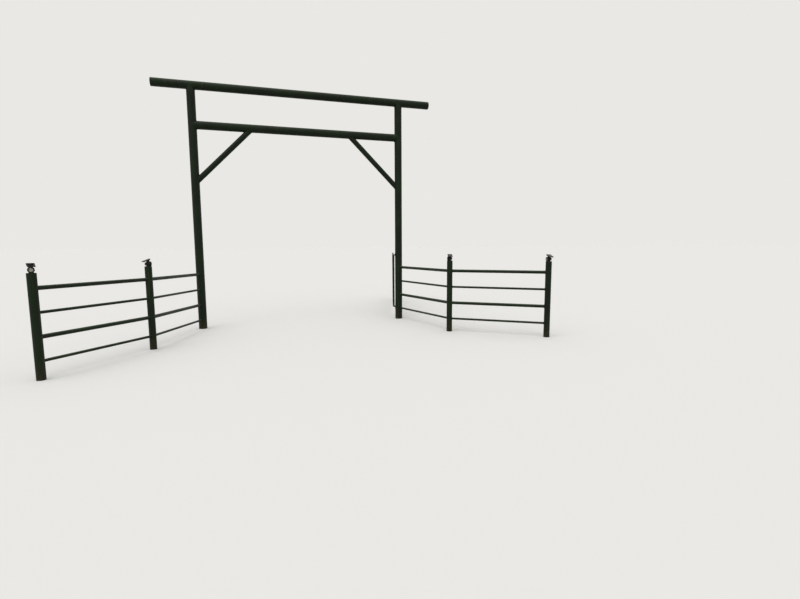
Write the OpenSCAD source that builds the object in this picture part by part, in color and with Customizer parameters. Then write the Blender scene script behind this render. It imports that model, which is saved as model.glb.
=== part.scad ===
// Ranch entrance gateway in welded steel pipe: a tall portal with an overhanging header,
// a tie beam and two knee braces, a cranked wing fence on each side and one swinging gate.
// Origin: centre of the left portal post's foot, on the ground. +X runs along the header
// to the right portal post, -Y is the side that the wings come out on, +Z is up.

/* [Portal] */
// Centre to centre distance of the two portal posts
portal_spacing = 4440; // [3600:20:5600]
// Height of the header's axis above the ground
header_height = 5050; // [4700:10:6000]
// Height of the tie beam's axis above the ground
tie_height = 4265; // [3600:5:4400]
// Length of header past each portal post's axis
header_overhang = 728; // [200:4:1000]
// Outer diameter of the portal posts, header and tie beam
portal_pipe_d = 168.3; // [140:0.1:190]
// Wall of the portal posts, header and tie beam
portal_wall = 7.1; // [4:0.1:12]
// Thickness of the plates that close the header's ends
end_plate_t = 8; // [4:1:16]
// Thickness of the welded plate that closes each post's foot
foot_t = 10; // [6:1:16]

/* [Knee braces] */
// Distance along post and tie beam from their crossing to the brace's axis
brace_reach = 1175; // [600:5:1300]
// Outer diameter of the knee braces
brace_d = 114.3; // [80:0.1:130]
// Wall of the knee braces
brace_wall = 6; // [3:0.1:9]

/* [Wing posts] */
// Height of the wing posts' pipe, on the left wing
wing_post_h = 1432; // [1340:2:1700]
// How much taller the right wing's posts stand
right_post_rise = 24; // [-60:2:100]
// Outer diameter of the wing posts
wing_post_d = 114.3; // [90:0.1:130]
// Wall of the wing posts
wing_post_wall = 6; // [3:0.1:9]
// Thickness of the cap plates on the wing posts
cap_t = 6; // [3:1:12]
// Portal post to mid post, centre to centre
inner_span = 2030; // [1500:10:2600]
// Mid post to end post, centre to centre
outer_span = 1930; // [1500:10:2600]
// Outward turn of the left inner span from straight ahead
left_inner_flare = 17.4; // [5:0.1:30]
// Outward turn of the left outer span from straight ahead
left_outer_flare = 33.2; // [20:0.1:60]
// Outward turn of the right inner span from straight ahead
right_inner_flare = 14.2; // [5:0.1:30]
// Outward turn of the right outer span from straight ahead
right_outer_flare = 53.1; // [20:0.1:70]

/* [Wing rails] */
// Height of the lowest rail's axis above the ground, on the right wing
rail_bottom_h = 268; // [150:2:320]
// Drop of the left wing's rails below that at the portal post
left_near_drop = 76; // [0:1:100]
// Drop of the left wing's rails below that at the mid post
left_mid_drop = 35; // [0:1:100]
// Drop of the left wing's rails below that at the end post
left_far_drop = 15; // [0:1:100]
// Spacing of the four rails
rail_pitch = 328; // [260:1:345]
// Outer diameter of the first and third rail from the top
thick_rail_d = 60.3; // [40:0.1:76]
// Wall of the thick rails
thick_rail_wall = 3.9; // [2:0.1:6]
// Outer diameter of the second and fourth rail from the top
thin_rail_d = 42.2; // [25:0.1:50]
// Wall of the thin rails
thin_rail_wall = 3.6; // [2:0.1:5]

/* [Gate leaf] */
// Height of the leaf's underside above the ground
gate_clearance = 315; // [200:5:400]
// Height of the leaf from end to end of its stiles
gate_h = 1210; // [1000:5:1400]
// Outer diameter of the leaf's pipes
gate_pipe_d = 42.2; // [33:0.1:50]
// Wall of the leaf's pipes
gate_wall = 3.6; // [2:0.1:5]
// Number of rails in the leaf
gate_rail_count = 5; // [3:1:7]
// Outer rails' axes in from the stiles' ends
gate_rail_inset = 40; // [30:1:80]
// Free gap between the leaf's hinge stile and its post
hinge_gap = 22; // [18:1:40]
// Free gap between the closed leaf's latch stile and its post
latch_gap = 40; // [20:1:80]
// Angle by which the leaf stands open, from closed
gate_open = 106; // [0:1:116]
// Width of the flat stays and the diagonal brace on the leaf
strap_w = 40; // [25:1:60]
// Thickness of the flat stays and the diagonal brace
strap_t = 6; // [4:1:10]
// Diagonal brace's ends in from the stiles' axes
diagonal_inset = 84; // [60:1:200]

/* [Hinge brackets] */
// Width of a hinge bracket's plate
bracket_w = 60; // [52:1:80]
// Thickness of a hinge bracket's plate
bracket_t = 12; // [8:1:20]
// Length of hinge pin inside the hinge stile
pin_len = 70; // [40:1:120]
// Thickness of the washer that the leaf stands on
washer_t = 4; // [2:1:8]
// How far the washer stands out past the stile
washer_rim = 3; // [1:0.5:4]
// Depth of the gusset under or over a bracket's plate
gusset_depth = 70; // [40:1:100]
// Thickness of the gusset
gusset_t = 8; // [6:1:14]

/* [Post lights] */
// Diameter of the light's bezel
light_d = 80; // [70:1:90]
// Length of the light's head
light_len = 96; // [80:1:120]
// Length of the bezel along the head
bezel_len = 22; // [14:1:30]
// Diameter of the head's tail
tail_d = 50; // [30:1:56]
// Free gap between the head and the cap plate
head_gap = 1.5; // [1:0.5:4]
// Diameter of the light's foot on the cap plate
base_d = 62; // [50:1:90]
// Thickness of the light's foot
base_t = 6; // [4:1:10]
// Diameter of the body between the head and the solar panel
neck_d = 52; // [20:1:60]
// Thickness of the plate that joins the neck to the panel
neck_plate_t = 9; // [5:1:14]
// Diameter of the light's lens
lens_d = 50; // [40:1:64]
// Thickness of the lens
lens_t = 4; // [2:1:6]
// Depth of the lens's face behind the bezel's edge
lens_recess = 4; // [1:0.5:8]
// Height of the solar panel's pivot above the cap plate
panel_pivot_h = 106; // [96:1:140]
// Length of the solar panel down its slope
panel_len = 122; // [90:1:140]
// Width of the solar panel
panel_w = 92; // [60:1:110]
// Length of the solar panel behind its neck
panel_back = 34; // [20:1:40]
// Thickness of the solar panel with its battery case
panel_t = 14; // [6:1:30]
// Slope of the solar panels from level
panel_tilt = 22; // [0:1:30]

/* [Fits] */
// Weld gap between a coped pipe end and the pipe that it meets
cope_gap = 0.3; // [0.2:0.1:0.8]
// Radial clearance of a hinge pin in its stile
pin_clearance = 0.3; // [0.2:0.1:0.8]
// Running gap between the leaf's ends and its hinge brackets
end_play = 0.5; // [0.3:0.1:0.9]
// Gap between pieces that are fixed face to face
seat_gap = 0.3; // [0.2:0.1:0.8]

/* [Hidden] */
$fn = 64;
portal_r = portal_pipe_d / 2;
wing_r = wing_post_d / 2;
gate_r = gate_pipe_d / 2;
pipe_color = "#1f3b30";
fitting_color = "#232b27";
light_color = "#15110d";
lens_color = "#8d8a7a";
panel_color = "#101722";

// Plan places of the posts
function beside(from, span, turn) = [from[0] + span * sin(turn), from[1] - span * cos(turn)];
left_portal = [0, 0];
right_portal = [portal_spacing, 0];
left_mid = beside(left_portal, inner_span, -left_inner_flare);
left_end = beside(left_mid, outer_span, -left_outer_flare);
right_mid = beside(right_portal, inner_span, right_inner_flare);
right_end = beside(right_mid, outer_span, right_outer_flare);

// Fall of the rails at each end of the four wing spans
left_inner_drops = [left_near_drop, left_mid_drop];
left_outer_drops = [left_mid_drop, left_far_drop];
level = [0, 0];

// The gate leaf in its own plane: X runs from the hinge axis to the latch stile
hinge_x = portal_spacing - portal_r - hinge_gap - gate_r;
leaf_len = hinge_x - portal_r - latch_gap - gate_r;
gate_top = gate_clearance + gate_h;
leaf_rail_pitch = (gate_h - 2 * gate_rail_inset) / (gate_rail_count - 1);
pin_d = gate_pipe_d - 2 * gate_wall - 2 * pin_clearance;
stay_places = [leaf_len / 3, 2 * leaf_len / 3];

light_axis_h = light_d / 2 + head_gap;
// Place of the lens's back face along the head
lens_seat = light_len - lens_t - lens_recess;
// Way each light and each panel faces, from +X, counter-clockwise seen from above
light_places = [left_end, left_mid, right_mid, right_end];
right_post_h = wing_post_h + right_post_rise;
light_post_h = [wing_post_h, wing_post_h, right_post_h, right_post_h];
light_turns = [-68, 30, 144, 172];
panel_turns = [105, -150, -105, -90];

// A pipe from point a to point b, with open ends
module pipe(a, b, d, wall) {
    run = b - a;
    length = norm(run);
    turn = atan2(run[1], run[0]);
    lean = acos(run[2] / length);
    translate(a) rotate([0, lean, turn]) difference() {
        cylinder(h = length, d = d);
        translate([0, 0, -1]) cylinder(h = length + 2, d = d - 2 * wall);
    }
}

// The space that a post takes from a pipe that is coped to it
module post_space(place, r) {
    translate([place[0], place[1], -1]) cylinder(h = header_height, r = r + cope_gap, $fn = 96);
}

// The space that the header or the tie beam takes from a pipe that is coped to it
module beam_space(height) {
    translate([-header_overhang - 1, 0, height]) rotate([0, 90, 0])
        cylinder(h = portal_spacing + 2 * header_overhang + 2, r = portal_r + cope_gap, $fn = 96);
}

// A post with a closed foot and an open top
module post(place, h, d, wall) {
    translate([place[0], place[1], 0]) difference() {
        cylinder(h = h, d = d, $fn = 96);
        translate([0, 0, foot_t]) cylinder(h = h, d = d - 2 * wall, $fn = 96);
    }
}

module portal_post(place) {
    color(pipe_color) difference() {
        post(place, header_height, portal_pipe_d, portal_wall);
        beam_space(header_height);
    }
}

module wing_post(place, h) {
    color(pipe_color) post(place, h, wing_post_d, wing_post_wall);
}

module header_beam() {
    color(pipe_color) pipe([-header_overhang, 0, header_height],
        [portal_spacing + header_overhang, 0, header_height], portal_pipe_d, portal_wall);
}

// Outer face at x, thickness running along the header; it ends at the middle of the pipe's wall
module end_plate(x) {
    color(pipe_color) translate([x, 0, header_height]) rotate([0, 90, 0])
        cylinder(h = end_plate_t, r = portal_r - portal_wall / 2, $fn = 96);
}

module tie_beam() {
    color(pipe_color) difference() {
        pipe([0, 0, tie_height], [portal_spacing, 0, tie_height], portal_pipe_d, portal_wall);
        post_space(left_portal, portal_r);
        post_space(right_portal, portal_r);
    }
}

// side is 1 on the left post, where the brace leans to +X, and -1 on the right post
module knee_brace(place, side) {
    color(pipe_color) difference() {
        pipe([place[0], 0, tie_height - brace_reach],
            [place[0] + side * brace_reach, 0, tie_height], brace_d, brace_wall);
        post_space(place, portal_r);
        beam_space(tie_height);
    }
}

// row counts from 0 at the bottom; odd rows are thick rails; drops is the fall at each end
module wing_rail(from, from_r, to, row, drops) {
    z = rail_bottom_h + row * rail_pitch;
    thick = row % 2 == 1;
    color(pipe_color) difference() {
        pipe([from[0], from[1], z - drops[0]], [to[0], to[1], z - drops[1]],
            thick ? thick_rail_d : thin_rail_d, thick ? thick_rail_wall : thin_rail_wall);
        post_space(from, from_r);
        post_space(to, wing_r);
    }
}

module wing_post_caps() {
    for (i = [0 : len(light_places) - 1])
        color(pipe_color) translate([light_places[i][0], light_places[i][1], light_post_h[i]])
            cylinder(h = cap_t, r = wing_r - wing_post_wall / 2, $fn = 96);
}

// Children placed on a wing post's cap, turned about the post's axis
module on_cap(i, turn) {
    translate([light_places[i][0], light_places[i][1], light_post_h[i] + cap_t])
        rotate([0, 0, turn]) children();
}

// The panel's own frame: X runs down its slope from over the neck, Z out of its upper face
module on_panel(i) {
    on_cap(i, panel_turns[i])
        translate([0, 0, panel_pivot_h]) rotate([0, panel_tilt, 0]) children();
}

// Half section of the light's head along its axis: tail, flared shell and bezel
module head_profile() {
    tail_r = tail_d / 2;
    bezel_r = light_d / 2;
    tail_round = 6;
    shoulder = 6;
    bezel_edge = 2;
    lens_hole_r = lens_d / 2 + seat_gap;
    polygon([[0, 0], [tail_r - tail_round, 0], [tail_r, tail_round],
        [bezel_r - shoulder, light_len - bezel_len - shoulder], [bezel_r, light_len - bezel_len],
        [bezel_r, light_len - bezel_edge], [bezel_r - bezel_edge, light_len],
        [lens_hole_r, light_len], [lens_hole_r, lens_seat], [0, lens_seat]]);
}

// The head's own Z runs along the way that it faces
module along_light_axis() {
    translate([-light_len / 2, 0, light_axis_h]) rotate([0, 90, 0]) children();
}

module post_light(i) {
    plate_rim = 10;
    color(light_color) union() {
        on_cap(i, light_turns[i]) {
            translate([0, 0, seat_gap]) cylinder(h = base_t, d = base_d);
            along_light_axis() rotate_extrude() head_profile();
        }
        difference() {
            on_cap(i, light_turns[i]) translate([0, 0, seat_gap])
                cylinder(h = panel_pivot_h + neck_d, d = neck_d);
            on_panel(i) translate([-panel_len, -panel_len, -seat_gap - neck_plate_t / 2])
                cube([2 * panel_len, 2 * panel_len, 2 * panel_len]);
        }
        on_panel(i) translate([0, 0, -seat_gap - neck_plate_t])
            cylinder(h = neck_plate_t, d = neck_d + plate_rim);
    }
}

// Each panel starts behind its neck and slopes down on the other side of it
module solar_panels() {
    for (i = [0 : len(light_places) - 1])
        color(panel_color) on_panel(i) translate([-panel_back, -panel_w / 2, 0])
            cube([panel_len, panel_w, panel_t]);
}

module light_lenses() {
    for (i = [0 : len(light_places) - 1])
        color(lens_color) on_cap(i, light_turns[i]) along_light_axis()
            translate([0, 0, lens_seat + seat_gap]) cylinder(h = lens_t, d = lens_d);
}

// A bracket's plate, washer and pin point up; the gusset hangs below the plate
module bracket_shape() {
    reach = hinge_gap + gate_r + portal_r;
    difference() {
        union() {
            cylinder(h = bracket_t, d = bracket_w);
            translate([0, -bracket_w / 2, 0]) cube([reach, bracket_w, bracket_t]);
            cylinder(h = bracket_t + washer_t, d = gate_pipe_d + 2 * washer_rim);
            cylinder(h = bracket_t + washer_t + pin_len, d = pin_d);
            translate([0, gusset_t / 2, 0]) rotate([90, 0, 0]) linear_extrude(gusset_t)
                polygon([[-pin_d / 2, 0], [reach, 0], [reach, -gusset_depth]]);
        }
        translate([reach, 0, -gusset_depth - 1])
            cylinder(h = gusset_depth + bracket_t + pin_len + 2, r = portal_r + cope_gap, $fn = 96);
    }
}

module lower_hinge_bracket() {
    color(fitting_color)
        translate([hinge_x, 0, gate_clearance - end_play - washer_t - bracket_t]) bracket_shape();
}

module upper_hinge_bracket() {
    color(fitting_color) translate([hinge_x, 0, gate_top + end_play + washer_t + bracket_t])
        mirror([0, 0, 1]) bracket_shape();
}

// The leaf's plane stood open: its own X runs from the hinge axis along the leaf
module in_leaf() {
    translate([hinge_x, 0, gate_clearance]) rotate([0, 0, 180 - gate_open]) children();
}

// The space that the two stiles take from a rail that is coped to them
module stile_space() {
    for (x = [0, leaf_len])
        translate([x, 0, -1]) cylinder(h = gate_h + 2, r = gate_r + cope_gap);
}

module gate_stile(x) {
    color(pipe_color) in_leaf() pipe([x, 0, 0], [x, 0, gate_h], gate_pipe_d, gate_wall);
}

module gate_rail(row) {
    z = gate_rail_inset + row * leaf_rail_pitch;
    color(pipe_color) in_leaf() difference() {
        pipe([0, 0, z], [leaf_len, 0, z], gate_pipe_d, gate_wall);
        stile_space();
    }
}

module gate_middle_rails() {
    for (row = [1 : gate_rail_count - 2]) gate_rail(row);
}

// Flat stays up the leaf's back, from the bottom rail to the top rail
module gate_stays() {
    for (x = stay_places)
        color(pipe_color) in_leaf()
            translate([x - strap_w / 2, -gate_r - seat_gap - strap_t, gate_rail_inset - strap_w / 2])
                cube([strap_w, strap_t, gate_h - 2 * gate_rail_inset + strap_w]);
}

// Flat bar across the leaf's front, from low at the hinge stile to high at the latch stile
module gate_diagonal_brace() {
    rise = gate_h - 2 * gate_rail_inset;
    run = leaf_len - 2 * diagonal_inset;
    color(pipe_color) in_leaf()
        translate([diagonal_inset, gate_r + seat_gap, gate_rail_inset])
            rotate([0, -atan2(rise, run), 0])
                translate([0, 0, -strap_w / 2]) cube([norm([run, rise]), strap_t, strap_w]);
}

portal_post(left_portal);  // left_portal_post
portal_post(right_portal);  // right_portal_post
header_beam();
end_plate(-header_overhang - end_plate_t);  // header_left_end_plate
end_plate(portal_spacing + header_overhang);  // header_right_end_plate
tie_beam();
knee_brace(left_portal, 1);  // left_knee_brace
knee_brace(right_portal, -1);  // right_knee_brace
wing_post(left_mid, wing_post_h);  // left_mid_post
wing_post(left_end, wing_post_h);  // left_end_post
wing_post(right_mid, right_post_h);  // right_mid_post
wing_post(right_end, right_post_h);  // right_end_post
wing_rail(left_portal, portal_r, left_mid, 3, left_inner_drops);  // left_inner_top_rail
wing_rail(left_portal, portal_r, left_mid, 2, left_inner_drops);  // left_inner_upper_rail
wing_rail(left_portal, portal_r, left_mid, 1, left_inner_drops);  // left_inner_lower_rail
wing_rail(left_portal, portal_r, left_mid, 0, left_inner_drops);  // left_inner_bottom_rail
wing_rail(left_mid, wing_r, left_end, 3, left_outer_drops);  // left_outer_top_rail
wing_rail(left_mid, wing_r, left_end, 2, left_outer_drops);  // left_outer_upper_rail
wing_rail(left_mid, wing_r, left_end, 1, left_outer_drops);  // left_outer_lower_rail
wing_rail(left_mid, wing_r, left_end, 0, left_outer_drops);  // left_outer_bottom_rail
wing_rail(right_portal, portal_r, right_mid, 3, level);  // right_inner_top_rail
wing_rail(right_portal, portal_r, right_mid, 2, level);  // right_inner_upper_rail
wing_rail(right_portal, portal_r, right_mid, 1, level);  // right_inner_lower_rail
wing_rail(right_portal, portal_r, right_mid, 0, level);  // right_inner_bottom_rail
wing_rail(right_mid, wing_r, right_end, 3, level);  // right_outer_top_rail
wing_rail(right_mid, wing_r, right_end, 2, level);  // right_outer_upper_rail
wing_rail(right_mid, wing_r, right_end, 1, level);  // right_outer_lower_rail
wing_rail(right_mid, wing_r, right_end, 0, level);  // right_outer_bottom_rail
wing_post_caps();
post_light(0);  // left_end_light
post_light(1);  // left_mid_light
post_light(2);  // right_mid_light
post_light(3);  // right_end_light
solar_panels();
light_lenses();
upper_hinge_bracket();
lower_hinge_bracket();
gate_stile(0);  // gate_hinge_stile
gate_stile(leaf_len);  // gate_latch_stile
gate_rail(gate_rail_count - 1);  // gate_top_rail
gate_middle_rails();
gate_rail(0);  // gate_bottom_rail
gate_stays();
gate_diagonal_brace();
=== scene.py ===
import bmesh
import bpy
import numpy as np
from math import atan2, ceil, cos, degrees, pi, radians, sin
from mathutils import Matrix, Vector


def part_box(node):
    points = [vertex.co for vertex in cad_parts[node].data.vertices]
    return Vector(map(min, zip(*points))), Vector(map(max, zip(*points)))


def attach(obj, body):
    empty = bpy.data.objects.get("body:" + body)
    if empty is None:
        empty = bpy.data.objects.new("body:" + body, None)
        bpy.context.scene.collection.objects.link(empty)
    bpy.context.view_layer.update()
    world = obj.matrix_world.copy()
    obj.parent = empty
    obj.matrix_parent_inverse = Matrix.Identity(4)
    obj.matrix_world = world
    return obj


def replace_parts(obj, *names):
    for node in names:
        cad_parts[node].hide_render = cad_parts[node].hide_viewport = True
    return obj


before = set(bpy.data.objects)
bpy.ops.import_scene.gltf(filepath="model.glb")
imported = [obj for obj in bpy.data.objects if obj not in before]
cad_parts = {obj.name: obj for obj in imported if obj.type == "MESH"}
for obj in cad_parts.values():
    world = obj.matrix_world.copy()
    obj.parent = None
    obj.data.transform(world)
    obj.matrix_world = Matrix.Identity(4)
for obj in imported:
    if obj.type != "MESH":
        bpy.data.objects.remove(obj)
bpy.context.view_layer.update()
mm = 0.001
print("frame loaded:", len(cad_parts), "nodes")


def lowHigh(node):
    low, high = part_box(node)
    return np.array(low), np.array(high)


def uprightPipe(node):  # centre in plan, radius and top of a post or stile
    low, high = lowHigh(node)
    return np.append((low + high)[:2] / 2, 0), max((high - low)[:2]) / 2, high[2]


def levelPipe(node):  # height of a level pipe's axis, and its radius
    low, high = lowHigh(node)
    return (low[2] + high[2]) / 2, (high[2] - low[2]) / 2


# Camera, found by fitting the edges of the portal and the wings in the photograph
photoCamera = dict(place=(1.1677, -10.802, 1.785), headingDeg=17.0104, pitchDeg=-6.696,
                   rollDeg=-0.2424, focalPixels=466.04, frameWidth=800, sensorWidth=36)


def makeCamera(values):
    lens = bpy.data.cameras.new("photoCamera")
    lens.sensor_width = values["sensorWidth"]
    lens.lens = values["focalPixels"] / values["frameWidth"] * values["sensorWidth"]
    camera = bpy.data.objects.new("photoCamera", lens)
    bpy.context.scene.collection.objects.link(camera)
    turn = Matrix.Rotation(-radians(values["headingDeg"]), 4, "Z")
    tip = Matrix.Rotation(radians(90 + values["pitchDeg"]), 4, "X")
    roll = Matrix.Rotation(radians(values["rollDeg"]), 4, "Z")
    camera.matrix_world = Matrix.Translation(values["place"]) @ turn @ tip @ roll
    bpy.context.scene.camera = camera


makeCamera(photoCamera)
print("camera placed")


def linear(hexColour):
    part = np.array([int(hexColour[i:i + 2], 16) for i in (1, 3, 5)]) / 255
    part = np.where(part <= 0.04045, part / 12.92, ((part + 0.055) / 1.055) ** 2.4)
    return (*part.tolist(), 1.0)


def add(tree, kind, inputs=None, **settings):  # one node, its settings, and its values or links
    made = tree.nodes.new("ShaderNode" + kind)
    for name, value in settings.items():
        setattr(made, name, value)
    for key, value in (inputs or {}).items():
        if isinstance(value, bpy.types.NodeSocket):
            tree.links.new(value, made.inputs[key])
        else:
            made.inputs[key].default_value = value
    return made


def newMaterial(name):
    material = bpy.data.materials.new(name)
    material.use_nodes = True
    material.node_tree.nodes.clear()
    return material, material.node_tree


def finishMaterial(tree, shader):
    add(tree, "OutputMaterial", {"Surface": shader.outputs[0]})


def noise(tree, where, sizeMm, detail=3.0, roughness=0.5, stretch=None):
    # soft noise with features about sizeMm across; stretch lengthens them along an axis
    if stretch:
        where = add(tree, "Mapping", {"Vector": where, "Scale": stretch}).outputs[0]
    return add(tree, "TexNoise", {"Vector": where, "Scale": 1000 / sizeMm, "Detail": detail,
                                  "Roughness": roughness}).outputs[0]


def between(tree, value, low, high, outLow=0.0, outHigh=1.0):  # smooth step from low to high
    return add(tree, "MapRange", {"Value": value, "From Min": low, "From Max": high,
                                  "To Min": outLow, "To Max": outHigh},
               interpolation_type="SMOOTHSTEP").outputs[0]


def times(tree, a, b):
    return add(tree, "Math", {0: a, 1: b}, operation="MULTIPLY").outputs[0]


def blendColour(tree, factor, under, over):
    return add(tree, "Mix", {0: factor, 6: under, 7: over}, data_type="RGBA").outputs[2]


# Alkyd enamel brushed on steel pipe: deep hunter green, satin, with a skin of fine ripples.
# Years outside leave it a little chalky on top, dusty, splashed with soil near the ground,
# and chipped down to rust in a few places.
enamel = dict(colour="#192714", shade="#111b0d", chalk="#55604a", dust="#666149", soil="#433a28",
              rust="#57301a", chipMm=26, chipShare=0.27, chipSoft=0.012, chipDepthMm=0.15,
              fadeMm=420, chalkMost=0.62, streakMm=38, streakMost=0.22, splashMm=34, splashTop=0.34,
              splashMost=0.75, skinMm=9, skinDepthMm=0.12, grainMm=2.4, grainDepthMm=0.03,
              glossy=0.36, dull=0.6, dirtDulls=0.3, ior=1.5, specular=0.15)


def greenEnamel(name, values):
    material, tree = newMaterial(name)
    where = add(tree, "TexCoord").outputs["Object"]
    place = add(tree, "SeparateXYZ", {0: where})
    facing = add(tree, "SeparateXYZ", {0: add(tree, "NewGeometry").outputs["Normal"]})
    patchy = noise(tree, where, values["fadeMm"], 4.0)
    streaks = noise(tree, where, values["streakMm"], 3.0, 0.6, (1, 1, 0.05))
    skin = noise(tree, where, values["skinMm"], 2.0)
    grain = noise(tree, where, values["grainMm"], 2.0)

    colour = blendColour(tree, between(tree, patchy, 0.35, 0.65), linear(values["shade"]),
                         linear(values["colour"]))
    upward = between(tree, facing.outputs[2], 0.25, 1.0)
    chalky = times(tree, upward, between(tree, patchy, 0.3, 0.7, 0.3, values["chalkMost"]))
    colour = blendColour(tree, chalky, colour, linear(values["chalk"]))
    streaky = between(tree, streaks, 0.55, 0.8, 0.0, values["streakMost"])
    colour = blendColour(tree, streaky, colour, linear(values["dust"]))
    low = between(tree, place.outputs[2], values["splashTop"], 0.0)
    blotches = noise(tree, where, values["splashMm"], 5.0, 0.65)
    splash = times(tree, low, between(tree, blotches, 0.42, 0.62, 0.05, values["splashMost"]))
    colour = blendColour(tree, splash, colour, linear(values["soil"]))

    spots = noise(tree, where, values["chipMm"], 6.0, 0.62)
    chip = between(tree, spots, values["chipShare"] + values["chipSoft"], values["chipShare"])
    colour = blendColour(tree, chip, colour, linear(values["rust"]))

    rough = between(tree, patchy, 0.3, 0.7, values["glossy"], values["dull"])
    dirt = add(tree, "Math", {0: splash, 1: chip}, operation="ADD").outputs[0]
    rough = add(tree, "Math", {0: rough, 1: times(tree, dirt, values["dirtDulls"])},
                operation="ADD", use_clamp=True).outputs[0]

    skinBump = add(tree, "Bump", {"Height": skin, "Strength": 1.0,
                                  "Distance": values["skinDepthMm"] * mm})
    grainBump = add(tree, "Bump", {"Height": grain, "Strength": 1.0,
                                   "Distance": values["grainDepthMm"] * mm,
                                   "Normal": skinBump.outputs[0]})
    chipBump = add(tree, "Bump", {"Height": chip, "Strength": 1.0,
                                  "Distance": values["chipDepthMm"] * mm,
                                  "Normal": grainBump.outputs[0]}, invert=True)
    finishMaterial(tree, add(tree, "BsdfPrincipled", {
        "Base Color": colour, "Roughness": rough, "IOR": values["ior"],
        "Specular IOR Level": values["specular"], "Normal": chipBump.outputs[0]}))
    return material


# The same enamel over a weld bead. The bead's own map runs along it (U, metres) and across it
# (V, 0 to 1), so rust and dirt sit in the toes at both edges.
weldFinish = dict(grime="#121a12", patchMm=30, rustMost=0.8, grimeMost=0.5, grimeLeast=0.15,
                  spatterMm=2.2, spatterDepthMm=0.1, glossy=0.4, dull=0.72)


def weldEnamel(name, paint, values):
    material, tree = newMaterial(name)
    where = add(tree, "TexCoord").outputs["Object"]
    across = add(tree, "SeparateXYZ", {0: add(tree, "UVMap", uv_map="surface").outputs[0]}).outputs[1]
    fromMiddle = add(tree, "Math", {0: add(tree, "Math", {0: across, 1: 0.5},
                                           operation="SUBTRACT").outputs[0]},
                     operation="ABSOLUTE").outputs[0]
    toe = between(tree, fromMiddle, 0.3, 0.5)
    patchy = noise(tree, where, values["patchMm"], 4.0, 0.6)
    rusty = times(tree, toe, between(tree, patchy, 0.48, 0.66, 0.0, values["rustMost"]))
    grimy = times(tree, toe, between(tree, patchy, 0.3, 0.6, values["grimeMost"], values["grimeLeast"]))
    colour = blendColour(tree, grimy, linear(paint["colour"]), linear(values["grime"]))
    colour = blendColour(tree, rusty, colour, linear(paint["rust"]))
    spatter = add(tree, "Bump", {"Height": noise(tree, where, values["spatterMm"], 3.0),
                                 "Strength": 1.0, "Distance": values["spatterDepthMm"] * mm})
    rough = between(tree, toe, 0.0, 1.0, values["glossy"], values["dull"])
    finishMaterial(tree, add(tree, "BsdfPrincipled", {
        "Base Color": colour, "Roughness": rough, "IOR": paint["ior"],
        "Specular IOR Level": paint["specular"], "Normal": spatter.outputs[0]}))
    return material


# Steel hinge fittings: flame cut plate under two thin coats of nearly black enamel, worn to bare
# metal in patches and rusty in others.
hingeFinish = dict(colour="#232b27", worn="#6c655b", rust="#4f2d1b", wornMm=22, wornMost=0.75,
                   rustMm=12, rustMost=0.8, grainMm=1.8, grainDepthMm=0.06, glossy=0.42, dull=0.66,
                   ior=1.5, specular=0.4)


def fittingEnamel(name, values):
    material, tree = newMaterial(name)
    where = add(tree, "TexCoord").outputs["Object"]
    patchy = noise(tree, where, values["wornMm"], 5.0, 0.6)
    fine = noise(tree, where, values["grainMm"], 3.0)
    worn = between(tree, patchy, 0.6, 0.66, 0.0, values["wornMost"])
    spots = noise(tree, where, values["rustMm"], 4.0, 0.65)
    rusty = between(tree, spots, 0.56, 0.64, 0.0, values["rustMost"])
    colour = blendColour(tree, worn, linear(values["colour"]), linear(values["worn"]))
    colour = blendColour(tree, rusty, colour, linear(values["rust"]))
    bump = add(tree, "Bump", {"Height": fine, "Strength": 1.0,
                              "Distance": values["grainDepthMm"] * mm})
    rough = between(tree, fine, 0.3, 0.7, values["glossy"], values["dull"])
    finishMaterial(tree, add(tree, "BsdfPrincipled", {
        "Base Color": colour, "Roughness": rough, "IOR": values["ior"],
        "Specular IOR Level": values["specular"], "Normal": bump.outputs[0]}))
    return material


# Injection moulded ABS in black: a fine spark eroded skin, gone brownish grey on top in the sun
blackAbs = dict(colour="#120f0c", sunned="#26221c", sunnedMm=40, sunnedMost=0.8, skinMm=1.1,
                skinDepthMm=0.04, glossy=0.48, dull=0.7, ior=1.53, specular=0.25)


def mouldedAbs(name, values):
    material, tree = newMaterial(name)
    where = add(tree, "TexCoord").outputs["Object"]
    facing = add(tree, "SeparateXYZ", {0: add(tree, "NewGeometry").outputs["Normal"]}).outputs[2]
    patchy = noise(tree, where, values["sunnedMm"], 4.0)
    sunned = times(tree, between(tree, facing, 0.1, 1.0),
                   between(tree, patchy, 0.3, 0.7, 0.35, values["sunnedMost"]))
    colour = blendColour(tree, sunned, linear(values["colour"]), linear(values["sunned"]))
    bump = add(tree, "Bump", {"Height": noise(tree, where, values["skinMm"], 2.0), "Strength": 1.0,
                              "Distance": values["skinDepthMm"] * mm})
    rough = between(tree, sunned, 0.0, values["sunnedMost"], values["glossy"], values["dull"])
    finishMaterial(tree, add(tree, "BsdfPrincipled", {
        "Base Color": colour, "Roughness": rough, "IOR": values["ior"],
        "Specular IOR Level": values["specular"], "Normal": bump.outputs[0]}))
    return material


# Polycarbonate lens, hazed by weather: pale, milky, and glossy where it is still clear
hazedLens = dict(colour="#c6c1ae", hazed="#9b9784", hazeMm=18, glossy=0.16, dull=0.42, ior=1.58,
                 scatter=0.15, scatterMm=3)


def polycarbonateLens(name, values):
    material, tree = newMaterial(name)
    where = add(tree, "TexCoord").outputs["Object"]
    haze = between(tree, noise(tree, where, values["hazeMm"], 4.0, 0.6), 0.35, 0.65)
    colour = blendColour(tree, haze, linear(values["colour"]), linear(values["hazed"]))
    rough = between(tree, haze, 0.0, 1.0, values["glossy"], values["dull"])
    finishMaterial(tree, add(tree, "BsdfPrincipled", {
        "Base Color": colour, "Roughness": rough, "IOR": values["ior"],
        "Subsurface Weight": values["scatter"], "Subsurface Scale": values["scatterMm"] * mm}))
    return material


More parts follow.
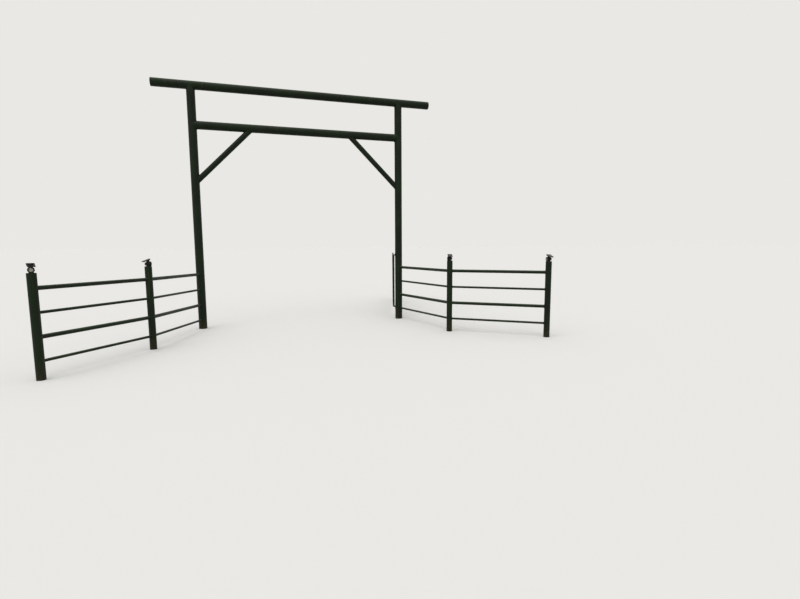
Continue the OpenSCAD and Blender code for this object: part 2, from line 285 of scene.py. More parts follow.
# Monocrystalline solar cells under clear epoxy: blue black cells, hair fine silver fingers and
# three wider bus bars. The piece's own map is in metres down (U) and across (V) the panel.
solarCell = dict(colour="#090c14", tint="#0e1422", silver="#4f5256", gap="#07090c", dust="#5a564b",
                 cellMm=(27, 39), fingerMm=3.0, fingerWideMm=0.5, fingerShows=0.35, busMm=13,
                 busWideMm=1.2, gapMm=1.4, tintMm=14, dustMm=25, dustMost=0.12, glossy=0.3, dull=0.55,
                 ior=1.5, specular=0.4)


def lines(tree, value, stepMm, wideMm, offsetMm=0.0):  # 1 on lines wideMm wide, two steps apart
    shifted = add(tree, "Math", {0: value, 1: offsetMm * mm}, operation="ADD").outputs[0]
    far = add(tree, "Math", {0: shifted, 1: stepMm * mm}, operation="PINGPONG").outputs[0]
    return add(tree, "Math", {0: far, 1: wideMm / 2 * mm}, operation="LESS_THAN").outputs[0]


def epoxyCells(name, values):
    material, tree = newMaterial(name)
    surface = add(tree, "SeparateXYZ", {0: add(tree, "UVMap", uv_map="surface").outputs[0]})
    where = add(tree, "TexCoord").outputs["Object"]
    down, across = surface.outputs[0], surface.outputs[1]
    grains = noise(tree, where, values["tintMm"], 3.0)
    colour = blendColour(tree, grains, linear(values["colour"]), linear(values["tint"]))
    # PINGPONG folds, so its step is half of the distance between lines
    fingers = lines(tree, down, values["fingerMm"] / 2, values["fingerWideMm"])
    buses = lines(tree, across, values["busMm"] / 2, values["busWideMm"], values["busMm"] / 2)
    silver = add(tree, "Math", {0: times(tree, fingers, values["fingerShows"]), 1: buses},
                 operation="MAXIMUM").outputs[0]
    colour = blendColour(tree, silver, colour, linear(values["silver"]))
    gaps = add(tree, "Math", {
        0: lines(tree, down, values["cellMm"][0] / 2, values["gapMm"], values["cellMm"][0] / 2),
        1: lines(tree, across, values["cellMm"][1] / 2, values["gapMm"])},
        operation="MAXIMUM").outputs[0]
    colour = blendColour(tree, gaps, colour, linear(values["gap"]))
    dusty = between(tree, noise(tree, where, values["dustMm"], 4.0), 0.45, 0.8, 0.0, values["dustMost"])
    colour = blendColour(tree, dusty, colour, linear(values["dust"]))
    rough = between(tree, dusty, 0.0, 0.25, values["glossy"], values["dull"])
    finishMaterial(tree, add(tree, "BsdfPrincipled", {
        "Base Color": colour, "Roughness": rough, "IOR": values["ior"],
        "Specular IOR Level": values["specular"]}))
    return material


# Zinc plated pan head screws, gone dull
zincScrew = dict(colour="#8b8d8a", tarnish="#4e4a43", spotMm=3, glossy=0.32, dull=0.6)


def dullZinc(name, values):
    material, tree = newMaterial(name)
    where = add(tree, "TexCoord").outputs["Object"]
    spots = between(tree, noise(tree, where, values["spotMm"], 4.0, 0.6), 0.45, 0.65)
    colour = blendColour(tree, spots, linear(values["colour"]), linear(values["tarnish"]))
    rough = between(tree, spots, 0.0, 1.0, values["glossy"], values["dull"])
    finishMaterial(tree, add(tree, "BsdfPrincipled", {
        "Base Color": colour, "Metallic": 1.0, "Roughness": rough}))
    return material


greenPaint = greenEnamel("hunterGreenEnamel", enamel)
weldPaint = weldEnamel("enamelOverWeld", enamel, weldFinish)
hingePaint = fittingEnamel("blackFittingEnamel", hingeFinish)
blackPlastic = mouldedAbs("blackMouldedAbs", blackAbs)
lensPlastic = polycarbonateLens("hazedPolycarbonate", hazedLens)
cellFace = epoxyCells("epoxySolarCells", solarCell)
screwMetal = dullZinc("dullZincPlate", zincScrew)

slotMaterials = dict(green_paint=greenPaint, hinge_paint=hingePaint, light_plastic=blackPlastic,
                     solar_cell=blackPlastic, lens=lensPlastic)
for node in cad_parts.values():
    for place in node.material_slots:
        place.material = slotMaterials[place.material.name]
print("materials made and given to the CAD nodes")


def gridFaces(rows, columns, wrapRows, wrapColumns):
    # quads between neighbouring rows and columns; a wrapped direction joins its last to its first
    row = np.arange(rows if wrapRows else rows - 1)
    column = np.arange(columns if wrapColumns else columns - 1)
    r, c = [part.ravel() for part in np.meshgrid(row, column, indexing="ij")]
    r2, c2 = (r + 1) % rows, (c + 1) % columns
    return np.stack([r * columns + c, r2 * columns + c, r2 * columns + c2, r * columns + c2], 1)


def gridPart(points, wrapRows=False, wrapColumns=False, surface=None):
    # points is rows x columns x 3; surface, if given, is rows x columns x 2 for the piece's map
    rows, columns = points.shape[:2]
    verts = points.reshape(-1, 3)
    flat = np.zeros((len(verts), 2)) if surface is None else surface.reshape(-1, 2)
    return verts, gridFaces(rows, columns, wrapRows, wrapColumns), flat


def placed(part, matrix):  # the part carried by a 4 x 4 matrix
    verts, faces, surface = part
    return verts @ matrix[:3, :3].T + matrix[:3, 3], faces, surface


def makePiece(name, parts, material, body, sharpDeg=32):
    counts = np.cumsum([0] + [len(verts) for verts, _, _ in parts])
    verts = np.concatenate([part[0] for part in parts])
    faces = np.concatenate([part[1] + start for part, start in zip(parts, counts)])
    surface = np.concatenate([part[2] for part in parts])
    mesh = bpy.data.meshes.new(name)
    mesh.vertices.add(len(verts))
    mesh.vertices.foreach_set("co", verts.astype(np.float32).ravel())
    mesh.loops.add(faces.size)
    mesh.loops.foreach_set("vertex_index", faces.astype(np.int32).ravel())
    mesh.polygons.add(len(faces))
    mesh.polygons.foreach_set("loop_start", np.arange(0, faces.size, 4, dtype=np.int32))
    mesh.update(calc_edges=True)
    mesh.validate()
    corners = surface[faces.ravel()].astype(np.float32).ravel()
    mesh.uv_layers.new(name="surface").data.foreach_set("uv", corners)
    joined = bmesh.new()  # points that fall together, at poles and bead ends, become one
    joined.from_mesh(mesh)
    bmesh.ops.remove_doubles(joined, verts=joined.verts, dist=0.001 * mm)
    joined.to_mesh(mesh)
    joined.free()
    mesh.shade_smooth()
    mesh.set_sharp_from_angle(angle=radians(sharpDeg))
    mesh.materials.append(material)
    piece = bpy.data.objects.new(name, mesh)
    bpy.context.scene.collection.objects.link(piece)
    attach(piece, body)
    return piece


def turnedPart(profile, segments, ring=False):
    # a profile of (radius, height) pairs carried round Z; it starts and ends on the axis, or for a
    # ring its last point joins its first
    angle = np.arange(segments) / segments * 2 * pi
    radius, height = np.array(profile).T
    points = np.stack([np.outer(radius, np.cos(angle)), np.outer(radius, np.sin(angle)),
                       np.repeat(height[:, None], segments, 1)], 2)
    return gridPart(points[::-1], ring, True)


def roundedOutline(halfX, halfY, radius, perCorner=6):
    # corner arcs of one radius, joined by straight sides, counter-clockwise
    arc = np.linspace(0, pi / 2, perCorner)
    corners = [(halfX - radius, halfY - radius, 0), (radius - halfX, halfY - radius, pi / 2),
               (radius - halfX, radius - halfY, pi), (halfX - radius, radius - halfY, 3 * pi / 2)]
    return np.concatenate([np.stack([x + radius * np.cos(arc + turn), y + radius * np.sin(arc + turn)], 1)
                           for x, y, turn in corners])


def slabPart(halfX, halfY, radius, levels):
    # one rounded outline at each level (inset, height); the first and last close to a point
    rings = []
    for inset, height in levels:
        outline = roundedOutline(halfX - inset, halfY - inset, max(radius - inset, 0.2 * mm))
        rings.append(np.column_stack([outline, np.full(len(outline), height)]))
    closed = [rings[0] * [0, 0, 1]] + rings + [rings[-1] * [0, 0, 1]]
    points = np.stack(closed)[::-1]
    return gridPart(points, False, True, points[:, :, :2])


def matrixOf(place=(0, 0, 0), turnDeg=0.0, tiltDeg=0.0):  # move, then turn about Z, then tilt about Y
    turn, tilt = radians(turnDeg), radians(tiltDeg)
    aboutZ = np.array([[cos(turn), -sin(turn), 0], [sin(turn), cos(turn), 0], [0, 0, 1]])
    aboutY = np.array([[cos(tilt), 0, sin(tilt)], [0, 1, 0], [-sin(tilt), 0, cos(tilt)]])
    made = np.eye(4)
    made[:3, :3] = aboutZ @ aboutY
    made[:3, 3] = place
    return made


# Weld beads: leg lengths, the ripple's pitch and depth, how far the toes and the root lie behind
# the skin, the distance between points along a bead and their number across it
weld = dict(portalLegMm=8, wingLegMm=6, gateLegMm=4.5, rippleMm=5.0, rippleDepth=0.13, crown=0.42,
            wobble=0.12, sinkMm=0.6, rootMm=1.5, stepMm=1.2, across=7)


def unit(vectors):
    return vectors / np.linalg.norm(vectors, axis=-1, keepdims=True)


def beadPart(points, wayA, wayB, outA, outB, legMm, closed=True, seed=0):
    # A fillet along points. Its section runs from a toe a leg along wayA to a toe a leg along
    # wayB, bulged outwards by a half sine, and closes behind the corner. Leg and bulge carry the
    # ripples of the weld pool, bowed forwards in the middle, and a slow wobble. Open beads taper.
    step = np.linalg.norm(np.roll(points, -1, 0) - points, axis=1)
    run = np.concatenate([[0], np.cumsum(step)[:-1]])
    length = run[-1] + (step[-1] if closed else 0)
    cycles = max(3, round(length / (weld["rippleMm"] * mm)))
    part = run / length
    wobble = 1 + weld["wobble"] * (np.sin(2 * pi * (3 * part + 0.37 * seed)) * 0.6
                                   + np.sin(2 * pi * (8 * part + 0.61 * seed)) * 0.4)
    if not closed:
        wobble = wobble * np.clip(np.sin(pi * np.clip(part, 0.02, 0.98)) * 3, 0.1, 1)
    q = np.linspace(0, 1, weld["across"])
    bow = 1 - (2 * q - 1) ** 2
    phase = cycles * part[:, None] - 0.6 * bow[None, :]
    ripple = 1 + weld["rippleDepth"] * (np.abs(np.sin(pi * phase)) - 0.6) * np.sin(pi * q)[None, :]
    leg = legMm * mm * wobble[:, None] * ripple
    outward = unit(outA + outB)
    lean = (1 - q)[None, :, None]
    ends = lean * wayA[:, None] + (1 - lean) * wayB[:, None]
    section = points[:, None] + leg[:, :, None] * (
        ends + weld["crown"] * np.sin(pi * q)[None, :, None] * outward[:, None])
    sunk = lean * outA[:, None] + (1 - lean) * outB[:, None]
    section = section - weld["sinkMm"] * mm * (np.abs(2 * q - 1) ** 3)[None, :, None] * sunk
    back = points - weld["rootMm"] * mm * outward
    section = np.concatenate([section, back[:, None]], 1)
    surface = np.stack([np.repeat(run[:, None], len(q) + 1, 1),
                        np.repeat(np.append(q, 0.5)[None], len(run), 0)], 2)
    if not closed:  # both ends close to a point
        first, last = section[:1].mean(1, keepdims=True), section[-1:].mean(1, keepdims=True)
        section = np.concatenate([np.repeat(first, section.shape[1], 1), section,
                                  np.repeat(last, section.shape[1], 1)])
        surface = np.concatenate([surface[:1], surface, surface[-1:]])
    along = np.cross(np.roll(points, -1, 0)[0] - points[0], wayA[0])
    if np.dot(along, outA[0]) > 0:  # keep the faces pointing outwards whichever way the curve runs
        section, surface = section[:, ::-1], surface[:, ::-1]
    return gridPart(section, closed, True, surface)


def evenly(points, closed=True):  # the same curve with its points about one step apart
    loop = np.concatenate([points, points[:1]]) if closed else points
    run = np.concatenate([[0], np.cumsum(np.linalg.norm(np.diff(loop, axis=0), axis=1))])
    count = max(8, ceil(run[-1] / (weld["stepMm"] * mm)))
    at = np.linspace(0, run[-1], count + 1)[:-1] if closed else np.linspace(0, run[-1], count)
    return np.stack([np.interp(at, run, loop[:, i]) for i in range(3)], 1)


def copedBead(start, along, radius, otherPoint, otherAxis, otherRadius, legMm, seed):
    # Where a pipe of this radius, running away from another pipe, meets it: for each line of its
    # skin, the far root of the distance to the other axis equal to the other radius
    start, along = np.asarray(start, float), unit(np.asarray(along, float))
    otherPoint, otherAxis = np.asarray(otherPoint, float), unit(np.asarray(otherAxis, float))
    side = unit(np.cross(along, otherAxis))
    third = np.cross(side, along)
    angle = np.linspace(0, 2 * pi, 721)[:-1]
    skin = start + radius * (np.cos(angle)[:, None] * side + np.sin(angle)[:, None] * third)
    flatAlong = along - np.dot(along, otherAxis) * otherAxis
    fromOther = skin - otherPoint
    fromOther = fromOther - (fromOther @ otherAxis)[:, None] * otherAxis
    a, b = flatAlong @ flatAlong, fromOther @ flatAlong
    c = (fromOther ** 2).sum(1) - otherRadius ** 2
    reach = (-b + np.sqrt(np.maximum(b * b - a * c, 0))) / a
    curve = evenly(skin + reach[:, None] * along)
    away = curve - start
    outA = unit(away - (away @ along)[:, None] * along)
    away = curve - otherPoint
    outB = unit(away - (away @ otherAxis)[:, None] * otherAxis)
    tangent = unit(np.roll(curve, -1, 0) - np.roll(curve, 1, 0))
    wayA = unit(np.cross(outA, tangent))
    wayA = wayA * np.sign(wayA @ along)[:, None]
    wayB = unit(np.cross(outB, tangent))
    wayB = wayB * np.sign((wayB * (outA - along)).sum(1))[:, None]
    return beadPart(curve, wayA, wayB, outA, outB, legMm, True, seed)


def ringBead(centre, axis, radius, legMm, seed):
    # round the corner between a plate's edge and the end of its pipe; the plate stands along axis
    axis = unit(np.asarray(axis, float))
    side = unit(np.cross(axis, [0.3, 0.9, 0.2]))
    third = np.cross(axis, side)
    count = ceil(2 * pi * radius / (weld["stepMm"] * mm))
    angle = np.arange(count) / count * 2 * pi
    out = np.cos(angle)[:, None] * side + np.sin(angle)[:, None] * third
    up = np.repeat(axis[None], count, 0)
    return beadPart(np.asarray(centre) + radius * out, out, up, up, out, legMm, True, seed)


def straightBead(start, end, wayA, wayB, legMm, seed):
    # a short fillet in the corner of two flat faces
    points = evenly(np.stack([start, end]), False)
    a, b = [np.repeat(np.asarray(way, float)[None], len(points), 0) for way in (wayA, wayB)]
    return beadPart(points, a, b, b, a, legMm, False, seed)


up, right = np.array([0, 0, 1.0]), np.array([1.0, 0, 0])
leftPost, portalRadius, _ = uprightPipe("left_portal_post")
rightPost, _, _ = uprightPipe("right_portal_post")
headerHeight, _ = levelPipe("header_beam")
tieHeight, _ = levelPipe("tie_beam")
knee = dict(reach=1.175, radius=0.05715)

portalBeads = []
for seed, (post, side) in enumerate(((leftPost, 1), (rightPost, -1))):
    portalBeads.append(copedBead(post + up * headerHeight, -up, portalRadius, post + up * headerHeight,
                                 right, portalRadius, weld["portalLegMm"], seed))
    portalBeads.append(copedBead(post + up * tieHeight, right * side, portalRadius, post, up,
                                 portalRadius, weld["portalLegMm"], seed + 2))
    foot = post + up * (tieHeight - knee["reach"])
    head = post + right * side * knee["reach"] + up * tieHeight
    portalBeads.append(copedBead(foot, head - foot, knee["radius"], post, up, portalRadius,
                                 weld["portalLegMm"], seed + 4))
    portalBeads.append(copedBead(head, foot - head, knee["radius"], head, right, portalRadius,
                                 weld["portalLegMm"], seed + 6))
makePiece("portalWelds", portalBeads, weldPaint, "gateway")

# The rails' heights and radii are read off the right wing, which is level, from the bottom up.
# A span's rails lie below these by the given metres at its near and its far end: for each side,
# the span beside the portal comes first.
railRows = [levelPipe("right_inner_" + row + "_rail") for row in ("bottom", "lower", "upper", "top")]
railDrops = dict(left=((0.076, 0.035), (0.035, 0.015)), right=((0, 0), (0, 0)))
for side, drops in railDrops.items():
    beads = []
    for (fromName, toName), (nearDrop, farDrop) in zip((("portal", "mid"), ("mid", "end")), drops):
        fromPost, fromRadius, _ = uprightPipe(side + "_" + fromName + "_post")
        toPost, toRadius, _ = uprightPipe(side + "_" + toName + "_post")
        for row, (height, radius) in enumerate(railRows):
            start, end = fromPost + up * (height - nearDrop), toPost + up * (height - farDrop)
            beads.append(copedBead(start, end - start, radius, fromPost, up, fromRadius,
                                   weld["wingLegMm"], row))
            beads.append(copedBead(end, start - end, radius, toPost, up, toRadius,
                                   weld["wingLegMm"], row + 5))
    makePiece(side + "WingWelds", beads, weldPaint, "gateway")
print("fence and portal welds laid")

# Plates that close the header and the wing posts end at the middle of the pipe's wall, so a bead
# runs round each in the corner that is left
plate = dict(portalWall=0.0071, wingWall=0.006, portalLegMm=3.0, wingLegMm=2.5, capThick=0.006)
ringRadius = portalRadius - plate["portalWall"] / 2
headerStart, headerEnd = [corner[0] for corner in lowHigh("header_beam")]
endBeads = [ringBead((x, 0, headerHeight), right * side, ringRadius, plate["portalLegMm"], seed)
            for seed, (x, side) in enumerate(((headerStart, -1), (headerEnd, 1)))]
makePiece("headerEndWelds", endBeads, weldPaint, "gateway")
capBeads = []
for seed, name in enumerate(("left_end", "left_mid", "right_mid", "right_end")):
    post, radius, top = uprightPipe(name + "_post")
    capBeads.append(ringBead(post + up * top, up, radius - plate["wingWall"] / 2,
                             plate["wingLegMm"], seed))
makePiece("postCapWelds", capBeads, weldPaint, "gateway")
print("plate welds laid")


# Hinge brackets: a plate and a gusset welded to the post above and below the leaf, in metres. The
# beads stop an inset short of the plate's edges and of the gusset's tip.
hinge = dict(washer=0.004, play=0.0005, plateThick=0.012, plateHalf=0.03, edgeInset=0.001,
             gussetDepth=0.07, gussetHalf=0.004, tipInset=0.006, pinInset=0.004, legMm=5.0)
hingeStile, leafPipeRadius, leafTop = uprightPipe("gate_hinge_stile")
latchStile, _, _ = uprightPipe("gate_latch_stile")
leafBottom = lowHigh("gate_hinge_stile")[0][2]


def bracketBeads(face, toGusset, seed):
    # face is the height of the plate's side that the leaf stands on, toGusset 1 up or -1 down
    way, leg = up * toGusset, hinge["legMm"]
    back = face + toGusset * hinge["plateThick"]

    def alongPost(fromY, toY, height, outward):
        y = np.linspace(fromY, toY, 40)
        x = rightPost[0] - np.sqrt(portalRadius ** 2 - y ** 2)
        points = evenly(np.stack([x, y, np.full_like(y, height)], 1), False)
        radial = unit((points - rightPost) * [1, 1, 0])
        normal = np.repeat(outward[None], len(points), 0)
        return beadPart(points, radial, normal, normal, radial, leg, False, seed)

    edge, gusset = hinge["plateHalf"] - hinge["edgeInset"], hinge["gussetHalf"]
    beads = [alongPost(-edge, edge, face, -way), alongPost(-edge, -gusset, back, way),
             alongPost(gusset, edge, back, way)]
    skin = rightPost[0] - (portalRadius ** 2 - gusset ** 2) ** 0.5
    for side in (-1, 1):
        y, outward = side * gusset, np.array([0, side, 0.0])
        corner, tip = (skin, y, back), back + toGusset * (hinge["gussetDepth"] - hinge["tipInset"])
        beads.append(straightBead(corner, (skin, y, tip), outward, -right, leg, seed + side))
        beads.append(straightBead((hingeStile[0] + hinge["pinInset"], y, back), corner, outward, way,
                                  leg, seed + side + 2))
    return beads


away = hinge["washer"] + hinge["play"]
makePiece("hingeBracketWelds", bracketBeads(leafBottom - away, -1, 1) +
          bracketBeads(leafTop + away, 1, 5), weldPaint, "gateway")


# Gate leaf, in its own frame: X from the hinge to the latch stile, Y to its front, Z up, in metres.
# A stay's and the diagonal's beads on a rail have the given half lengths.
leaf = dict(railInset=0.04, rails=5, wall=0.0036, strapHalf=0.02, seat=0.0003, stayBead=0.009,
            diagonalInset=0.084, diagonalEnd=0.03, diagonalBead=0.018)
leafRun = latchStile - hingeStile
leafLength, leafHeight = np.linalg.norm(leafRun), leafTop - leafBottom
leafFrame = matrixOf(hingeStile + up * leafBottom, degrees(atan2(leafRun[1], leafRun[0])))
leafX, leafY, hingeFoot = leafFrame[:3, 0], leafFrame[:3, 1], leafFrame[:3, 3]
latchFoot = hingeFoot + leafRun
leafRise = leafHeight - 2 * leaf["railInset"]
railHeights = leaf["railInset"] + np.arange(leaf["rails"]) * leafRise / (leaf["rails"] - 1)
gateBeads = []
for seed, height in enumerate(railHeights):
    for foot, along in ((hingeFoot, leafX), (latchFoot, -leafX)):
        gateBeads.append(copedBead(foot + up * height, along, leafPipeRadius, foot, up, leafPipeRadius,
                                   weld["gateLegMm"], seed))


def strapBeads(x, z, edgeWay, acrossWay, halfLength, front, seed):
    # both edges of a flat bar where it crosses a rail: edgeWay runs along the bar
    beads = []
    y = front * (leafPipeRadius + leaf["seat"])
    for side in (-1, 1):
        middle = np.array([x, y, z]) + side * leaf["strapHalf"] * acrossWay
        ends = [leafFrame[:3, :3] @ (middle + k * halfLength * edgeWay) + hingeFoot for k in (-1, 1)]
        beads.append(straightBead(*ends, leafFrame[:3, :3] @ (side * acrossWay), leafY * front,
                                  weld["gateLegMm"], seed + side))
    return beads


for seed, x in enumerate((leafLength / 3, 2 * leafLength / 3)):
    for height in railHeights:
        gateBeads += strapBeads(x, height, up, right, leaf["stayBead"], -1, seed)
slope = atan2(leafRise, leafLength - 2 * leaf["diagonalInset"])
barWay, barAcross = np.array([cos(slope), 0, sin(slope)]), np.array([-sin(slope), 0, cos(slope)])
barLength = leafRise / sin(slope)
for seed, height in enumerate(railHeights):
    reach = min(max((height - leaf["railInset"]) / sin(slope), leaf["diagonalEnd"]),
                barLength - leaf["diagonalEnd"])
    x, z = leaf["diagonalInset"] + reach * cos(slope), leaf["railInset"] + reach * sin(slope)
    gateBeads += strapBeads(x, z, barWay, barAcross, leaf["diagonalBead"], 1, seed)
makePiece("gateWelds", gateBeads, weldPaint, "gate")

# Pressed plugs close the latch stile's ends: a shallow dome inside the bore, given as shares of
# the bore's radius and mm along it
plug = [(0, -4), (0.94, -4), (1, -3.4), (1, -0.9), (0.93, -0.35), (0.6, -0.1), (0, 0)]
bore = leafPipeRadius - leaf["wall"]
plugPart = turnedPart([(radius * bore, height * mm) for radius, height in plug], 48)
flip = np.diag([1.0, -1, -1, 1])
plugs = [placed(placed(plugPart, flip), matrixOf(latchFoot)),
         placed(plugPart, matrixOf(latchFoot + up * leafHeight))]
makePiece("latchStilePlugs", plugs, greenPaint, "gate")
print("hinge and gate welds laid")


# Solar spot lights on the four post caps, in metres: the head's profile along its own axis, then
# the neck, the foot and the panel that slopes down from over the neck. The foot's screws stand
# in the narrow rim that the neck leaves free, at both sides of the head and behind it.
light = dict(turnDeg=dict(left_end=-68, left_mid=30, right_mid=144, right_end=172),
             panelDeg=dict(left_end=105, left_mid=-150, right_mid=-105, right_end=-90),
             axisHeight=0.0415, length=0.096, bezelRadius=0.04, bezelFrom=0.074, tailFrom=0.006,
             tailRadius=0.025, shoulderRadius=0.034, shoulderAt=0.068, neckRadius=0.026,
             neckRingAt=0.0822, footHigh=0.0063, screwRing=0.0285, screwTurns=(90, 180, 270),
             footScrew=(0.0022, 0.0018), panelScrew=(0.0024, 0.0014), panelScrewAt=(0.05, 0.036),
             lensRadius=0.025, lensFrom=0.0883, lensTo=0.0923, pivot=0.106, tiltDeg=22,
             panelLength=0.122, panelWidth=0.092, panelThick=0.014, panelBack=0.034, panelCorner=0.009,
             cellInset=0.007, cellCorner=0.003)
# Rings and ribs, in metres: how deep each is sunk in its surface, how far it stands out of it, its
# half thickness or its ends, and the bevel on its edges
coolingRing = dict(first=0.014, last=0.062, pitch=0.008, sunk=0.002, stands=0.0032, half=0.0011,
                   edge=0.0005)
bezelBead = dict(low=0.0005, high=0.003, sunk=0.002, stands=0.0009, edge=0.0004)
neckBead = dict(high=0.0028, sunk=0.002, stands=0.0011, edge=0.0006)
gripRib = dict(count=28, middle=0.0115, halfLong=0.0065, halfWide=0.0012, corner=0.0008)
underRib = dict(apart=0.041, halfLong=0.044, halfWide=0.001, corner=0.0008)
lensFront = dict(rim=0.0006, crown=0.0012, ridge=0.00035, ridges=9, back=0.0014, edge=0.0004,
                 shoulder=0.0018)


def roundedRing(inner, outer, low, high, edge, segments=56):  # its outer edges broken by a small bevel
    return turnedPart([(inner, low), (outer - edge, low), (outer, low + edge), (outer, high - edge),
                       (outer - edge, high), (inner, high)], segments, True)


def lightTrim():
    # cooling rings down the flared shell, a bead at the bezel's rear edge, and grip ribs round it
    parts, ring, bead, rib = [], coolingRing, bezelBead, gripRib
    for at in np.arange(ring["first"], ring["last"], ring["pitch"]):
        shell = np.interp(at, (light["tailFrom"], light["shoulderAt"]),
                          (light["tailRadius"], light["shoulderRadius"]))
        parts.append(roundedRing(shell - ring["sunk"], shell + ring["stands"], at - ring["half"],
                                 at + ring["half"], ring["edge"]))
    bezel, start = light["bezelRadius"], light["bezelFrom"]
    parts.append(roundedRing(bezel - bead["sunk"], bezel + bead["stands"], start + bead["low"],
                             start + bead["high"], bead["edge"]))
    ribPart = slabPart(rib["halfLong"], rib["halfWide"], rib["corner"],
                       [(0, -0.001), (0, 0.0005), (0.0004, 0.0009)])
    lay = matrixOf((bezel, 0, start + rib["middle"]), 0, 90)
    for step in range(rib["count"]):
        parts.append(placed(ribPart, matrixOf(turnDeg=step * 360 / rib["count"]) @ lay))
    return parts


def lensPart():
    # a crowned disc whose front carries fine circular ridges: the crown falls with the square of
    # the radius, and each ridge is half a sine
    values, across = lensFront, np.linspace(0, 1, 90)
    outer, low, high = light["lensRadius"], light["lensFrom"], light["lensTo"]
    radius = across * (outer - values["rim"])
    crown = values["crown"] * (1 - across ** 2) + values["ridge"] * np.abs(
        np.sin(pi * across * values["ridges"]))
    front = list(zip(radius, high - values["back"] + crown))[::-1]
    profile = [(0, low), (outer - values["edge"], low), (outer, low + values["edge"]),
               (outer, high - values["shoulder"])] + front
    return turnedPart(profile, 72)


def screwPart(radius, high):  # a pan head: flat under, round shouldered, nearly flat on top
    profile = [(0, 0), (1, 0), (1, 0.45), (0.93, 0.7), (0.78, 0.88), (0.5, 0.97), (0, 1)]
    return turnedPart([(part * radius, height * high) for part, height in profile], 24)


def underRibs():  # moulded ribs along the panel's underside, outside the neck's plate
    rib = slabPart(underRib["halfLong"], underRib["halfWide"], underRib["corner"],
                   [(0, -0.0005), (0, 0.0012), (0.0004, 0.0016)])
    return [placed(placed(rib, flip), matrixOf((0, side * underRib["apart"], 0))) for side in (-1, 1)]


trim, lenses, shells, cells, screws = lightTrim(), [], [], [], []
neckRing = roundedRing(light["neckRadius"] - neckBead["sunk"], light["neckRadius"] + neckBead["stands"],
                       light["neckRingAt"], light["neckRingAt"] + neckBead["high"], neckBead["edge"])
halfLength, halfWidth, thick = light["panelLength"] / 2, light["panelWidth"] / 2, light["panelThick"]
shellPart = slabPart(halfLength, halfWidth, light["panelCorner"], [
    (0.0016, 0), (0.0004, 0.0008), (0, 0.0022), (0, thick - 0.0035), (0.0005, thick - 0.0012),
    (0.0018, thick), (0.0058, thick), (0.0066, thick - 0.0014)])
cellPart = slabPart(halfLength - light["cellInset"], halfWidth - light["cellInset"], light["cellCorner"], [
    (0.0003, thick - 0.002), (0, thick - 0.0017), (0, thick - 0.0009), (0.0004, thick - 0.0006)])
for name in light["turnDeg"]:
    post, _, top = uprightPipe(name + "_post")
    cap = post + up * (top + plate["capThick"])
    head = matrixOf(cap, light["turnDeg"][name]) @ matrixOf(
        (-light["length"] / 2, 0, light["axisHeight"]), 0, 90)
    panel = matrixOf(cap, light["panelDeg"][name]) @ matrixOf((0, 0, light["pivot"]), 0, light["tiltDeg"])
    panel = panel @ matrixOf((halfLength - light["panelBack"], 0, 0))
    lenses.append(placed(lensPart(), head))
    shells += [placed(part, panel) for part in [shellPart] + underRibs()]
    cells.append(placed(cellPart, panel))
    screwX, screwY = light["panelScrewAt"]
    screws += [placed(screwPart(*light["panelScrew"]), panel @ matrixOf((x, y, 0)) @ flip)
               for x in (-screwX, screwX) for y in (-screwY, screwY)]
    side, place = name.split("_")
    makePiece(side + place.capitalize() + "LightTrim", [placed(part, head) for part in trim] +
              [placed(neckRing, matrixOf(cap))], blackPlastic, "gateway")
    for turn in light["screwTurns"]:
        around = radians(light["turnDeg"][name] + turn)
        screws.append(placed(screwPart(*light["footScrew"]), matrixOf(
            cap + np.array([cos(around), sin(around), 0]) * light["screwRing"] + up * light["footHigh"])))
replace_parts(makePiece("lensFaces", lenses, lensPlastic, "gateway"), "light_lenses")
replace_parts(makePiece("solarPanelShells", shells, blackPlastic, "gateway"), "solar_panels")
makePiece("solarCellFaces", cells, cellFace, "gateway")
makePiece("lightScrews", screws, screwMetal, "gateway")
print("lights dressed")


# A floor that runs on to the horizon, where it meets a backdrop of the tone that it renders at
studio = dict(floorSize=600, floorColour="#dbdad7", floorBounce="#4b4a44", backdrop="#e9e8e5",
              skyTop=0.98, skyLow=0.3, skyRise=(-0.1, 0.9), sunPower=1.25, sunSoftDeg=70,
              sunFrom=(-0.45, -0.55, 1.0))


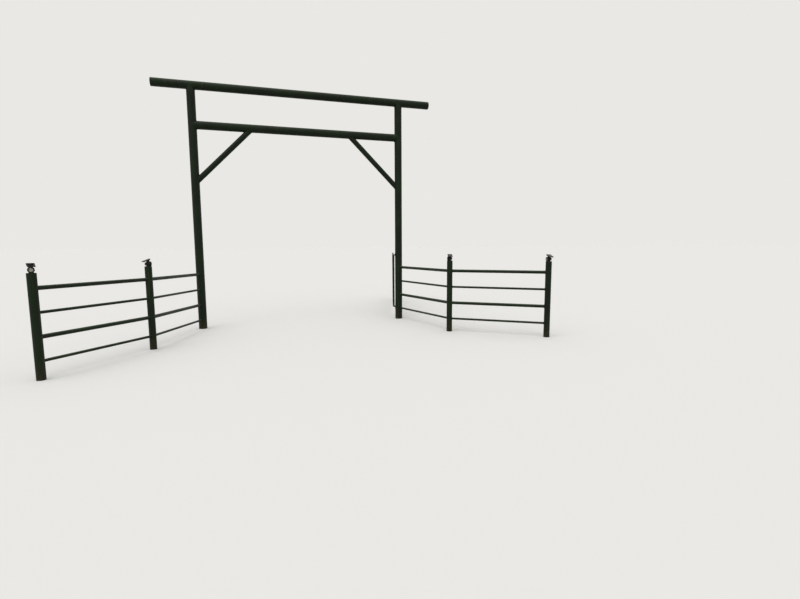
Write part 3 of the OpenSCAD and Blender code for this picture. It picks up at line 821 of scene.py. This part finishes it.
def seenRays(tree):  # 1 for a ray from the camera, or one that gloss or glass has turned, else 0
    rays = add(tree, "LightPath")
    seen = add(tree, "Math", {0: rays.outputs["Is Camera Ray"], 1: rays.outputs["Is Glossy Ray"]},
               operation="MAXIMUM").outputs[0]
    return add(tree, "Math", {0: seen, 1: rays.outputs["Is Transmission Ray"]},
               operation="MAXIMUM").outputs[0]


def makeFloor(values):
    half = values["floorSize"] / 2
    across = np.linspace(-half, half, 9)
    x, y = np.meshgrid(across, across, indexing="ij")
    verts, faces, surface = gridPart(np.stack([x, y, np.zeros_like(x)], 2))
    mesh = bpy.data.meshes.new("studioFloor")
    mesh.from_pydata(verts.tolist(), [], faces.tolist())
    material, tree = newMaterial("paleStudioFloor")
    pale = add(tree, "BsdfDiffuse", {"Color": linear(values["floorColour"])})
    bounce = add(tree, "BsdfDiffuse", {"Color": linear(values["floorBounce"])})
    finishMaterial(tree, add(tree, "MixShader", {0: seenRays(tree), 1: bounce.outputs[0],
                                                 2: pale.outputs[0]}))
    mesh.materials.append(material)
    floor = bpy.data.objects.new("studioFloor", mesh)
    bpy.context.scene.collection.objects.link(floor)


def makeLight(values):
    world = bpy.data.worlds.new("studioSky")
    bpy.context.scene.world = world
    world.use_nodes = True
    tree = world.node_tree
    tree.nodes.clear()
    height = add(tree, "SeparateXYZ", {0: add(tree, "TexCoord").outputs["Generated"]}).outputs[2]
    strength = between(tree, height, *values["skyRise"], values["skyLow"], values["skyTop"])
    lighting = add(tree, "Background", {"Color": (1, 1, 1, 1), "Strength": strength})
    shown = add(tree, "Background", {"Color": linear(values["backdrop"]), "Strength": 1.0})
    mixed = add(tree, "MixShader", {0: seenRays(tree), 1: lighting.outputs[0], 2: shown.outputs[0]})
    add(tree, "OutputWorld", {"Surface": mixed.outputs[0]})
    lamp = bpy.data.lights.new("softKey", "SUN")
    lamp.energy = values["sunPower"]
    lamp.angle = radians(values["sunSoftDeg"])
    key = bpy.data.objects.new("softKey", lamp)
    bpy.context.scene.collection.objects.link(key)
    x, y, z = values["sunFrom"]
    key.matrix_world = Matrix.Rotation(atan2(x, -y), 4, "Z") @ Matrix.Rotation(
        atan2((x * x + y * y) ** 0.5, z), 4, "X")


makeFloor(studio)
makeLight(studio)
bpy.context.scene.view_settings.view_transform = "Standard"
print("floor and light set")
